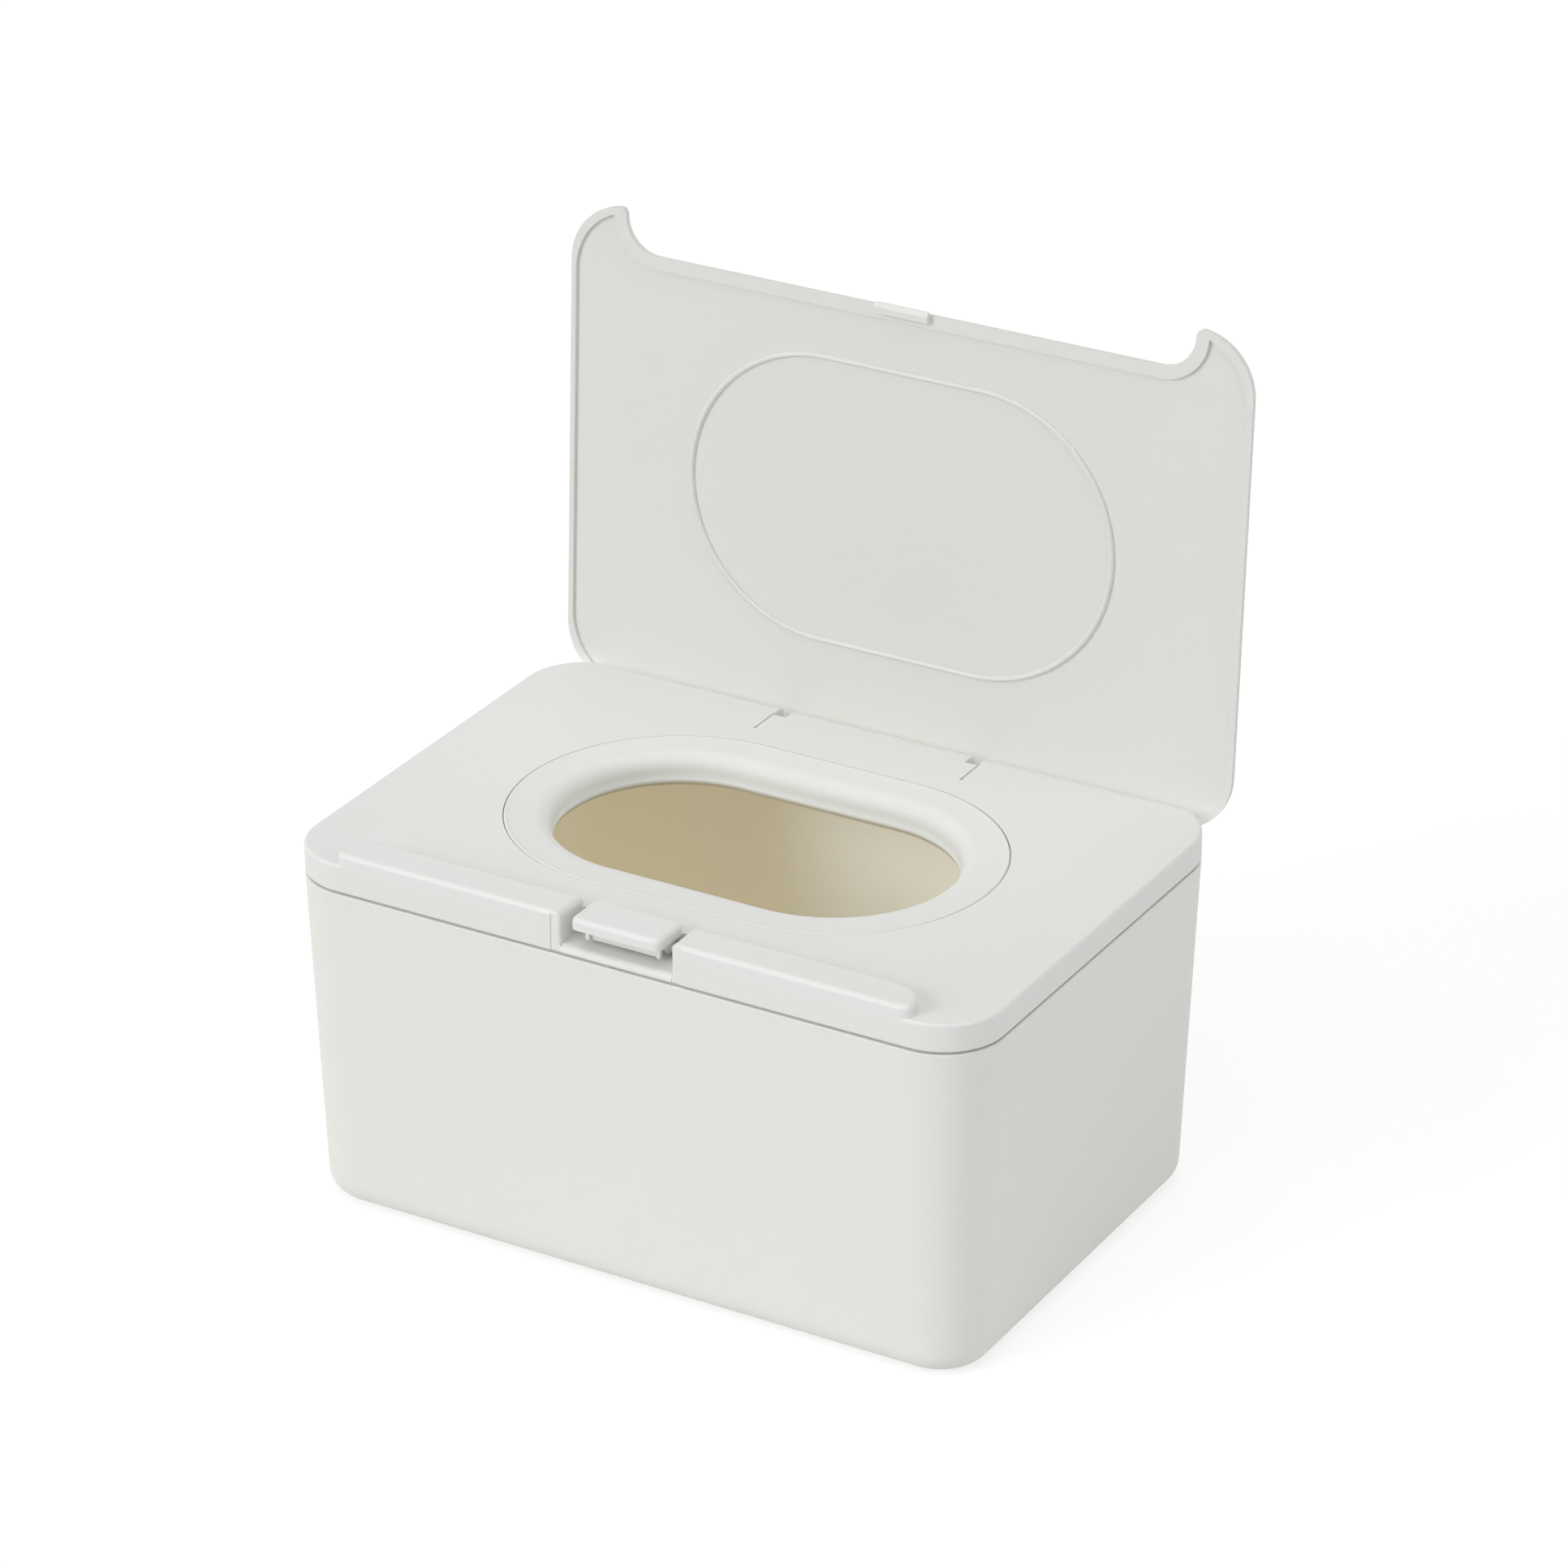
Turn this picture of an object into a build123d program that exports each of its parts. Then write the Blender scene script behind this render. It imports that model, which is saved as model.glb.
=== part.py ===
from build123d import *
import math
import os

# A box for baby wipes with a lift-off cover, an oval mouth and a flip lid that a press tab holds shut.
# The lid is drawn as the box is used, open. X runs along the front, Y to the back, Z up.
# The origin is the middle of the underside of the tub.

# Overall size of the closed box, in millimetres
box_width = 190.0
box_depth = 130.0
box_height = 100.0
corner_radius = 16.0
strip_rise = 3.1
cover_side_height = 7.9
cover_top = box_height - strip_rise
tub_top = cover_top - cover_side_height

# Tub, which tapers towards its base
side_taper = 2.85
front_taper = 3.7
base_width = box_width - 2 * side_taper
base_depth = box_depth - 2 * front_taper
base_corner_radius = 13.6
base_edge_radius = 6.5
tub_wall = 2.2
tub_floor = 2.2
rim_softening = 0.4

# Cover shell
skirt_wall = 1.6
plate_thickness = 1.8
cover_edge_radius = 0.7
seat_gap = 0.1
cover_bottom = tub_top + seat_gap
shadow_groove_height = 0.8
shadow_groove_depth = 0.8

# Plug wall of the cover, which holds it inside the tub
plug_wall = 1.2
plug_length = 4.6
plug_gap = 0.3
bead_radius = 0.5
bead_height = 0.22
bead_length_front = 60.0
bead_length_side = 40.0
bead_drop = 2.4
bead_groove_room = 0.15

# Raised strip along the front of the cover
strip_end_inset = 16.2
strip_depth = 10.8
strip_half_width = box_width / 2 - strip_end_inset
strip_back = strip_depth - box_depth / 2
strip_corner_radius = 8.8
strip_end_radius = 2.6
strip_edge_radius = 1.2
strip_rib_thickness = 1.2
strip_rib_spacing = 19.0

# Oval mouth and its soft ring
mouth_centre_y = 0.5
mouth_half_straight = 21.75
mouth_radius = 31.06
mouth_roll_radius = 4.3
mouth_depth = 7.4
ring_radius = 42.65
ring_gap = 0.25
ring_flange = 1.2
ring_wall = 1.5
ring_neck_radius = 38.0
ring_neck_gap = 0.1
ring_bead = 1.0
ring_bead_height = 1.4
ledge_thickness = 1.6
ledge_width = 1.6

# Lid
lid_gap = 0.3
lid_side_gap = 0.4
lid_plate = 1.9
lid_edge_radius = 1.7
lid_rim_width = 1.3
lid_rim_corner_radius = 17.0
lid_lip_width = 3.4
horn_radius = 1.9
rib_radius = 37.6
rib_width = 1.3

# Lid hinge
lid_open_angle = 92.63
hinge_inset = 2.7
hinge_drop = 4.9
hinge_y = box_depth / 2 - hinge_inset
hinge_z = cover_top - hinge_drop
arm_centre_x = 27.4
arm_thickness = 1.8
arm_hub_radius = 1.9
arm_side_gap = 0.9
arm_front_gap = 0.6
arm_stop_gap = 0.3
hinge_pin_radius = 1.3
hinge_pin_length = 3.3
hinge_pin_clearance = 0.06
hinge_pin_end_gap = 0.4
hinge_block_wall = 1.5
slit_offset = 2.0
slit_length = 8.8
slit_width = 0.5
slit_depth = 0.9
slit_end_radius = 0.45

# Pocket for the press tab
pocket_half_width = 15.3
pocket_overrun = 0.5
pocket_wall = 1.5
pocket_rim_gap = 1.1
pocket_back = strip_back + pocket_overrun
pocket_floor = cover_bottom + pocket_rim_gap + pocket_wall
pocket_corner_radius = 0.8
pocket_floor_radius = 1.6
frame_width = 2.6
frame_depth = 0.25
cheek_wall = 2.2
cheek_edge_radius = 1.6

# Press tab
tab_half_width = 12.2
tab_overhang = 0.4
tab_back_setback = 0.4
tab_front = -box_depth / 2 - tab_overhang
tab_back = strip_back - tab_back_setback
tab_thickness = 3.0
tab_corner_radius = 1.9
tab_edge_radius = 1.2
tab_pivot_setback = 1.7
tab_pivot_height = 2.2
tab_pivot_y = strip_back - tab_pivot_setback
tab_pivot_z = pocket_floor + tab_pivot_height
tab_hub_radius = 1.8
tab_leg_outer_x = 10.2
tab_leg_thickness = 0.9
tab_lug_length = 1.0
tab_lug_setback = 3.9
tab_press_angle = 11.0
tab_stop_gap = 0.3
tab_apron_thickness = 0.8
trunnion_radius = 1.2
trunnion_clearance = 0.06
trunnion_engagement = 1.3
trunnion_end_gap = 0.3

# Return spring under the press tab
spring_radius = 1.6
spring_wire = 0.4
spring_turns = 4.5
spring_setback = 3.1
spring_y = strip_back - spring_setback
spring_end_gap = 0.1
spring_peg_gap = 0.25
spring_peg_height = 1.0

# Latch tooth on the lid
tooth_half_width = 7.4
tooth_bite = 0.35
tooth_drop = 1.7
tooth_under_gap = 0.3
tooth_tip_height = 0.4
tooth_root = 1.5
tooth_slot_gap = 0.6

# How far cutters run past the faces that they cut
past = 1.0


def plan(width, depth, radius, level):
    """A rectangle with rounded corners, seen from above, at a level."""
    return Pos(0, 0, level) * RectangleRounded(width, depth, radius)


def tub_share(level):
    return level / tub_top


def tub_width(level):
    return base_width + (box_width - base_width) * tub_share(level)


def tub_depth(level):
    return base_depth + (box_depth - base_depth) * tub_share(level)


def tub_corner(level):
    return base_corner_radius + (corner_radius - base_corner_radius) * tub_share(level)


def tub_plan(level, inset):
    """The tub's tapered outline at a level, taken in all round."""
    return plan(
        tub_width(level) - 2 * inset,
        tub_depth(level) - 2 * inset,
        tub_corner(level) - inset,
        level,
    )


def box_of(x_range, y_range, z_range):
    """A block between two corners."""
    size = [high - low for low, high in (x_range, y_range, z_range)]
    middle = [(high + low) / 2 for low, high in (x_range, y_range, z_range)]
    return Pos(*middle) * Box(*size)


def rod_along_x(x_range, y, z, radius):
    """A round rod that lies along X."""
    low, high = x_range
    return Pos((low + high) / 2, y, z) * Rot(0, 90, 0) * Cylinder(radius, high - low)


def side_range(side, inner, outer):
    """The X range from inner to outer on the left or right side."""
    return tuple(sorted((side * inner, side * outer)))


def oval(radius, bottom, top):
    """A solid with the mouth's plan: a straight middle and two round ends."""
    sketch = SlotCenterToCenter(2 * mouth_half_straight, 2 * radius)
    return extrude(Pos(0, mouth_centre_y, bottom) * sketch, top - bottom)


def oval_ring(section):
    """Runs a section, drawn as radius and height, round the mouth's oval."""
    upright = Plane.XZ * section
    end = revolve(upright, Axis.Z, 180)
    end = Rot(0, 0, -90) * end
    straight = extrude(Plane.YZ * section, mouth_half_straight, both=True)
    ring = straight + Rot(0, 0, 180) * straight
    ring += Pos(mouth_half_straight, 0, 0) * end
    ring += Rot(0, 0, 180) * Pos(mouth_half_straight, 0, 0) * end
    return Pos(0, mouth_centre_y, 0) * ring


def strip_plan(grow, level):
    """The raised strip seen from above. It runs on past the front, and grow widens it."""
    back = strip_back + grow
    front = -box_depth / 2
    radius = strip_corner_radius + grow
    length = 2 * (back - front)
    sketch = RectangleRounded(2 * (strip_half_width + grow), length, radius)
    return Pos(0, front, level) * sketch


def make_tub():
    """The open tub: a tapered shell with a round lower edge and a groove inside its rim."""
    outer = loft([tub_plan(0, 0), tub_plan(tub_top, 0)])
    outer = fillet(outer.edges().group_by(Axis.Z)[0], base_edge_radius)
    inner = loft([tub_plan(tub_floor, tub_wall), tub_plan(tub_top, tub_wall)])
    inner = fillet(inner.edges().group_by(Axis.Z)[0], base_edge_radius - tub_wall)
    tub = outer - inner
    tub = fillet(tub.edges().group_by(Axis.Z)[-1], rim_softening)
    groove_level = bead_level() - bead_radius
    groove = extrude(tub_plan(groove_level, tub_wall - bead_groove_room), 2 * bead_radius)
    return tub - groove


def plug_bottom():
    return cover_bottom - plug_length


def plug_plan(inset, level):
    """The plug wall's outline, clear of the tub's wall at the plug's lower edge."""
    reach = tub_wall + plug_gap + inset
    return plan(
        tub_width(plug_bottom()) - 2 * reach,
        tub_depth(plug_bottom()) - 2 * reach,
        tub_corner(plug_bottom()) - reach,
        level,
    )


def bead_level():
    return cover_bottom - bead_drop


def cover_plan(inset, level):
    return plan(box_width - 2 * inset, box_depth - 2 * inset, corner_radius - inset, level)


def cover_outside():
    """The cover's outer form: a shallow block with the raised strip on its front edge."""
    block = extrude(cover_plan(0, cover_bottom), cover_top - cover_bottom)
    front_half = box_of(
        (-box_width, box_width), (-box_depth / 2, box_depth), (cover_bottom, box_height)
    )
    strip = extrude(strip_plan(0, cover_bottom), box_height - cover_bottom) & front_half
    front_ends = strip.edges().filter_by(Axis.Z).group_by(Axis.Y)[0]
    strip = fillet(front_ends, strip_end_radius)
    strip = fillet(strip.edges().group_by(Axis.Z)[-1], strip_edge_radius)
    block = fillet(block.edges().group_by(Axis.Z)[-1], cover_edge_radius)
    return block + strip


def cover_hollow():
    """The space under the cover's top plate and under its strip."""
    under_plate = extrude(
        cover_plan(skirt_wall, cover_bottom), cover_top - plate_thickness - cover_bottom
    )
    inside_front = box_of(
        (-box_width, box_width),
        (skirt_wall - box_depth / 2, box_depth),
        (cover_bottom, box_height),
    )
    under_strip = extrude(
        strip_plan(-plate_thickness, cover_bottom), box_height - plate_thickness - cover_bottom
    )
    return under_plate + (under_strip & inside_front)


def plug():
    """The wall that reaches into the tub, with a snap bead on each side."""
    length = cover_top - plug_bottom() - plate_thickness / 2
    wall = extrude(plug_plan(0, plug_bottom()), length)
    wall -= extrude(plug_plan(plug_wall, plug_bottom()), length)
    half_depth = tub_depth(plug_bottom()) / 2 - tub_wall - plug_gap
    half_width = tub_width(plug_bottom()) / 2 - tub_wall - plug_gap
    sink = bead_radius - bead_height
    for side in (-1, 1):
        bead = Rot(0, 90, 0) * Cylinder(bead_radius, bead_length_front)
        wall += Pos(0, side * (half_depth - sink), bead_level()) * bead
        bead = Rot(90, 0, 0) * Cylinder(bead_radius, bead_length_side)
        wall += Pos(side * (half_width - sink), 0, bead_level()) * bead
    return wall


def strip_rib_count():
    """As many ribs as stand clear of the strip's end on one side of the pocket."""
    room = strip_half_width - plate_thickness - pocket_half_width - cheek_wall
    return int(room // strip_rib_spacing)


def strip_ribs():
    """Cross ribs that stiffen the hollow strip on both sides of the pocket."""
    top = box_height - plate_thickness / 2
    front = skirt_wall / 2 - box_depth / 2
    back = strip_back - plate_thickness / 2
    ribs = []
    for side in (-1, 1):
        for number in range(1, strip_rib_count() + 1):
            x = side * (pocket_half_width + number * strip_rib_spacing)
            half = strip_rib_thickness / 2
            ribs.append(box_of((x - half, x + half), (front, back), (cover_top - plate_thickness, top)))
    return ribs


def slot_x_range(side):
    """The gap in the cover that an arm of the lid swings in."""
    half = arm_thickness / 2 + arm_side_gap
    return side_range(side, arm_centre_x - half, arm_centre_x + half)


def slot_front():
    return hinge_y - arm_hub_radius - arm_front_gap


def slot_floor():
    return hinge_z - arm_hub_radius - arm_stop_gap


def pin_tip_x():
    return arm_centre_x - arm_thickness / 2 - hinge_pin_length


def hinge_block(side):
    """The solid corner under the plate that holds one hinge pin."""
    outer = max(abs(x) for x in slot_x_range(side)) + hinge_block_wall
    inner = pin_tip_x() - hinge_pin_end_gap - hinge_block_wall
    return box_of(
        side_range(side, inner, outer),
        (slot_front() - hinge_block_wall, box_depth / 2 - skirt_wall / 2),
        (cover_bottom, cover_top - plate_thickness / 2),
    )


def hinge_slit(side):
    """The slit that lets the pin's corner give, with a round stop at its end."""
    x = side * (arm_centre_x + slit_offset)
    end_y = slot_front() - slit_length
    z_range = (cover_top - slit_depth, cover_top + past)
    slit = box_of((x - slit_width / 2, x + slit_width / 2), (end_y, slot_front() + past), z_range)
    stop = Cylinder(slit_end_radius, z_range[1] - z_range[0])
    return slit + Pos(x, end_y, sum(z_range) / 2) * stop


def hinge_cuts(side):
    """The arm's slot, its way out at the back, the pin's hole and the slit in front."""
    x_range = slot_x_range(side)
    behind = box_depth / 2 + past
    slot = box_of(x_range, (slot_front(), behind), (slot_floor(), cover_top + past))
    way_out = (box_depth / 2 - skirt_wall, behind)
    slot += box_of(x_range, way_out, (cover_bottom - past, cover_top))
    hole_inner = pin_tip_x() - hinge_pin_end_gap
    hole_radius = hinge_pin_radius + hinge_pin_clearance
    hole = rod_along_x(side_range(side, hole_inner, arm_centre_x), hinge_y, hinge_z, hole_radius)
    return slot + hole + hinge_slit(side)


def hinge_relief():
    """What is taken off the back top edge, so that the lid's inner side swings past it."""
    reach = cover_top - hinge_z
    block = box_of(
        (-box_width, box_width), (hinge_y, hinge_y + 2 * reach), (hinge_z, hinge_z + 2 * reach)
    )
    return block - rod_along_x((-box_width, box_width), hinge_y, hinge_z, reach)


def mouth_ledge():
    """The rim under the plate that the mouth ring sits on."""
    seat = cover_top - ring_flange
    bottom = seat - ledge_thickness
    top = cover_top - plate_thickness / 2
    return oval(ring_radius + ring_gap + ledge_width, bottom, top)


def mouth_cuts():
    seat = cover_top - ring_flange
    wide = oval(ring_radius + ring_gap, seat, cover_top + past)
    through = oval(ring_neck_radius, plug_bottom(), cover_top + past)
    return wide + through


def tooth_slot_back():
    return strip_back + lid_side_gap + tooth_root + tooth_slot_gap


def pocket_solid():
    """The walls and floor of the pocket, before it is hollowed."""
    front = skirt_wall / 2 - box_depth / 2
    bottom = pocket_floor - pocket_wall
    low_top = cover_top - plate_thickness / 2
    wide = pocket_half_width + cheek_wall
    body = box_of((-wide, wide), (front, pocket_back + pocket_wall), (bottom, low_top))
    body += box_of(
        (-wide, wide), (front, strip_back - strip_edge_radius), (bottom, box_height - plate_thickness / 2)
    )
    narrow = tooth_half_width + tooth_slot_gap + pocket_wall
    return body + box_of((-narrow, narrow), (front, tooth_slot_back() + pocket_wall), (bottom, low_top))


def pocket_cut():
    """The pocket is open at the top and at the front, where its corners are rounded."""
    front = frame_depth - box_depth / 2
    height = box_height + past - pocket_floor
    sketch = Pos(0, (front - past + pocket_back) / 2) * Rectangle(
        2 * pocket_half_width, pocket_back - front + past
    )
    radius = pocket_corner_radius
    reach = pocket_half_width + radius
    flare = Pos(0, front + (radius - past) / 2) * Rectangle(2 * reach, radius + past)
    for side in (-1, 1):
        flare -= Pos(side * reach, front + radius) * Circle(radius)
    tooth_room = tooth_half_width + tooth_slot_gap
    slot = Pos(0, (front + tooth_slot_back()) / 2) * Rectangle(2 * tooth_room, tooth_slot_back() - front)
    return extrude(Pos(0, 0, pocket_floor) * (sketch + flare + slot), height)


def pocket_frame(side):
    """The shallow flat beside the pocket, which the mould's insert leaves in the strip's front."""
    front = -box_depth / 2
    return box_of(
        side_range(side, pocket_half_width, pocket_half_width + frame_width),
        (front - past, front + frame_depth),
        (cover_bottom, box_height + past),
    )


def pocket_floor_softening():
    """What rounds the front edge of the pocket's floor over into the skirt."""
    radius = pocket_floor_radius
    middle_y = radius - box_depth / 2
    middle_z = pocket_floor - radius
    x_range = (-pocket_half_width, pocket_half_width)
    block = box_of(x_range, (middle_y - radius - past, middle_y), (middle_z, pocket_floor + past))
    return block - rod_along_x(x_range, middle_y, middle_z, radius)


def trunnion_tip_x():
    return pocket_half_width + trunnion_engagement


def pocket_sockets():
    reach = trunnion_tip_x() + trunnion_end_gap
    return rod_along_x((-reach, reach), tab_pivot_y, tab_pivot_z, trunnion_radius + trunnion_clearance)


def spring_peg(level, height):
    peg_radius = spring_radius - spring_wire / 2 - spring_peg_gap
    return Pos(0, spring_y, level + height / 2) * Cylinder(peg_radius, height)


def cheek_softening(side):
    """What rounds the strip's top edge along one side of the pocket."""
    radius = cheek_edge_radius
    corner_x = pocket_half_width + radius
    y_range = (-box_depth / 2 - past, strip_back + past)
    x_range = side_range(side, pocket_half_width - past, corner_x)
    block = box_of(x_range, y_range, (box_height - radius, box_height + past))
    length = y_range[1] - y_range[0]
    round_edge = Rot(90, 0, 0) * Cylinder(radius, length)
    return block - Pos(side * corner_x, sum(y_range) / 2, box_height - radius) * round_edge


def make_top_cover():
    """The lift-off cover: shell, plug wall, strip, pocket, hinge corners and mouth."""
    cover = cover_outside() - cover_hollow()
    cover += plug() + strip_ribs() + mouth_ledge() + pocket_solid()
    for side in (-1, 1):
        cover += hinge_block(side)
    groove = extrude(cover_plan(-past, cover_bottom), shadow_groove_height)
    groove -= extrude(cover_plan(shadow_groove_depth, cover_bottom), shadow_groove_height)
    cover -= groove
    cover -= mouth_cuts()
    cover -= pocket_cut()
    cover -= pocket_floor_softening()
    cover -= pocket_sockets()
    cover -= hinge_relief()
    for side in (-1, 1):
        cover -= pocket_frame(side)
        cover -= cheek_softening(side)
        cover -= hinge_cuts(side)
    return cover + spring_peg(pocket_floor, spring_peg_height)


def make_mouth_ring():
    """The soft ring: a flat flange that rolls down into the mouth and clips under the ledge."""
    seat = cover_top - ring_flange
    neck = ring_neck_radius - ring_neck_gap
    inner_neck = neck - ring_wall
    under_ledge = seat - ledge_thickness - ring_neck_gap
    bead_bottom = under_ledge - ring_bead_height
    roll_bottom = cover_top - mouth_roll_radius
    bottom = cover_top - mouth_depth
    roll_top = mouth_radius + mouth_roll_radius
    outer_wall = mouth_radius + ring_wall
    inner_roll = mouth_roll_radius - ring_wall
    channel_top = roll_bottom + inner_roll
    with BuildSketch() as section:
        with BuildLine():
            Polyline((mouth_radius, roll_bottom), (mouth_radius, bottom), (outer_wall, bottom))
            Line((outer_wall, bottom), (outer_wall, roll_bottom))
            RadiusArc((outer_wall, roll_bottom), (roll_top, channel_top), inner_roll)
            Polyline((roll_top, channel_top), (inner_neck, channel_top), (inner_neck, bead_bottom))
            Polyline((inner_neck, bead_bottom), (neck, bead_bottom), (neck + ring_bead, under_ledge))
            Polyline((neck + ring_bead, under_ledge), (neck, under_ledge), (neck, seat))
            Polyline((neck, seat), (ring_radius, seat), (ring_radius, cover_top), (roll_top, cover_top))
            RadiusArc((roll_top, cover_top), (mouth_radius, roll_bottom), -mouth_roll_radius)
        make_face()
    return oval_ring(section.sketch)


def lid_plan(level):
    """The lid's outline with its notch for the strip."""
    return cover_plan(0, level) - strip_plan(lid_side_gap, level)


def lid_hollow_plan(level):
    """The hollow inside the lid's rim, which is wider at the corners and along the notch."""
    width = box_width - 2 * lid_rim_width
    depth = box_depth - 2 * lid_rim_width
    outline = plan(width, depth, lid_rim_corner_radius, level)
    return outline - strip_plan(lid_side_gap + lid_lip_width, level)


def lid_arm(side):
    """One hinge arm with its hub and its inward pin, as it stands on the closed lid."""
    half = arm_thickness / 2
    x_range = side_range(side, arm_centre_x - half, arm_centre_x + half)
    inside = box_height - lid_plate / 2
    arm = box_of(x_range, (hinge_y - arm_hub_radius, hinge_y + arm_hub_radius), (hinge_z, inside))
    arm += rod_along_x(x_range, hinge_y, hinge_z, arm_hub_radius)
    pin_range = side_range(side, pin_tip_x(), arm_centre_x)
    return arm + rod_along_x(pin_range, hinge_y, hinge_z, hinge_pin_radius)


def latch_tooth():
    """The hooked tooth on the lid's front edge, which goes in under the press tab."""
    edge = strip_back + lid_side_gap
    rim_level = cover_top + lid_gap
    hook_top = box_height - tab_thickness - tooth_under_gap
    tip = tab_back - tooth_bite
    bottom = rim_level - tooth_drop
    with BuildSketch(Plane.YZ) as profile:
        with BuildLine():
            Polyline(
                (edge + tooth_root, rim_level + lid_gap),
                (edge, rim_level + lid_gap),
                (edge, hook_top),
                (tip, hook_top),
                (tip, hook_top - tooth_tip_height),
                (edge, bottom),
                (edge + tooth_root, bottom),
                close=True,
            )
        make_face()
    return extrude(profile.sketch, tooth_half_width, both=True)


def sealing_rib():
    """The low oval rib inside the lid that presses on the mouth ring."""
    rim_level = cover_top + lid_gap
    inside = box_height - lid_plate
    half = rib_width / 2
    crown = inside - half / 2
    with BuildSketch() as section:
        with BuildLine():
            Polyline((rib_radius - half, crown), (rib_radius - half, inside + half))
            Polyline((rib_radius - half, inside + half), (rib_radius + half, inside + half))
            Line((rib_radius + half, inside + half), (rib_radius + half, crown))
            ThreePointArc((rib_radius + half, crown), (rib_radius, rim_level), (rib_radius - half, crown))
        make_face()
    return oval_ring(section.sketch)


def make_lid():
    """The flip lid, built shut and then swung open about its hinge."""
    rim_level = cover_top + lid_gap
    inside = box_height - lid_plate
    slab = extrude(lid_plan(rim_level), box_height - rim_level)
    horns = slab.edges().filter_by(Axis.Z).group_by(Axis.Y)[0]
    slab = fillet(horns, horn_radius)
    slab = fillet(slab.edges().group_by(Axis.Z)[-1], lid_edge_radius)
    hollow = extrude(lid_hollow_plan(rim_level), inside - rim_level)
    lid = slab - hollow + sealing_rib() + latch_tooth()
    for side in (-1, 1):
        lid += lid_arm(side)
    to_hinge = Pos(0, hinge_y, hinge_z)
    return to_hinge * Rot(-lid_open_angle, 0, 0) * to_hinge.inverse() * lid


def lowest_under_tab(front):
    """How low a part of the tab may reach: it stops above the pocket's floor when fully pressed."""
    angle = math.radians(tab_press_angle)
    reach = tab_pivot_y - front
    stop = pocket_floor + tab_stop_gap - tab_pivot_z
    return tab_pivot_z + (stop + reach * math.sin(angle)) / math.cos(angle)


def tab_leg(side):
    """A side leg of the tab: front lug, web and hub with its trunnion."""
    x_range = side_range(side, tab_leg_outer_x - tab_leg_thickness, tab_leg_outer_x)
    underside = box_height - tab_thickness
    lug_front = tab_front + tab_lug_setback
    lug_back = lug_front + tab_lug_length
    leg = box_of(x_range, (lug_front, lug_back), (lowest_under_tab(lug_front), underside + past))
    with BuildSketch(Plane.YZ) as profile:
        with BuildLine():
            Polyline(
                (lug_front, underside + past),
                (lug_front, underside - past),
                (tab_pivot_y, tab_pivot_z - tab_hub_radius),
                (tab_pivot_y, underside + past),
                close=True,
            )
        make_face()
    web = extrude(profile.sketch, tab_leg_thickness)
    leg += Pos(x_range[0], 0, 0) * web
    leg += rod_along_x(x_range, tab_pivot_y, tab_pivot_z, tab_hub_radius)
    inner = tab_leg_outer_x - tab_leg_thickness
    return leg + rod_along_x(
        side_range(side, inner, trunnion_tip_x()), tab_pivot_y, tab_pivot_z, trunnion_radius
    )


def make_press_tab():
    """The press tab: a rounded pad on two legs, an apron behind its front and two trunnions."""
    underside = box_height - tab_thickness
    pad = box_of((-tab_half_width, tab_half_width), (tab_front, tab_back), (underside, box_height))
    pad = fillet(pad.edges().filter_by(Axis.Z).group_by(Axis.Y)[0], tab_corner_radius)
    top_edges = pad.edges().group_by(Axis.Z)[-1]
    pad = fillet(top_edges - top_edges.group_by(Axis.Y)[-1], tab_edge_radius)
    apron_front = tab_front + tab_lug_setback + tab_lug_length
    inner = tab_leg_outer_x - tab_leg_thickness / 2
    tab = pad + box_of(
        (-inner, inner),
        (apron_front, apron_front + tab_apron_thickness),
        (lowest_under_tab(apron_front), underside + past),
    )
    for side in (-1, 1):
        tab += tab_leg(side)
    return tab + spring_peg(underside - spring_peg_height, spring_peg_height + past)


def make_spring():
    """The small coil spring that lifts the tab."""
    wire = spring_wire / 2
    bottom = pocket_floor + spring_end_gap + wire
    top = box_height - tab_thickness - spring_end_gap - wire
    height = top - bottom
    coil = Helix(pitch=height / spring_turns, height=height, radius=spring_radius)
    coil = Pos(0, spring_y, bottom) * coil
    start = Plane(origin=coil @ 0, z_dir=coil % 0)
    return sweep(start * Circle(wire), path=coil, is_frenet=True)


def main():
    os.makedirs("parts", exist_ok=True)
    nodes = {
        "tub": make_tub(),
        "top_cover": make_top_cover(),
        "mouth_ring": make_mouth_ring(),
        "lid": make_lid(),
        "press_tab": make_press_tab(),
        "tab_spring": make_spring(),
    }
    for name, solid in nodes.items():
        export_step(solid, os.path.join("parts", name + ".step"))
        print(name, round(solid.volume, 1), "mm3")


main()
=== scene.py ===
# %% [markdown]
# # A box for wipes, dressed for its portrait
# The box is a moulded tub with a lift-off cover, a soft oval mouth, a flip lid and a press tab.
# Its rigid pieces come ready made from a mechanical model, at their real size and place. They could
# be modelled again here, but a lid that has to swing and latch is safer in one exact model, so this
# lesson keeps them as a fixed frame. It adds what the eye sees: camera, light, floor and the finish
# of each plastic. Two pieces aren't rigid, so they are modelled again: the soft ring round the mouth
# and the small coil spring under the press tab.

# %% Load the frame
import math

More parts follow.
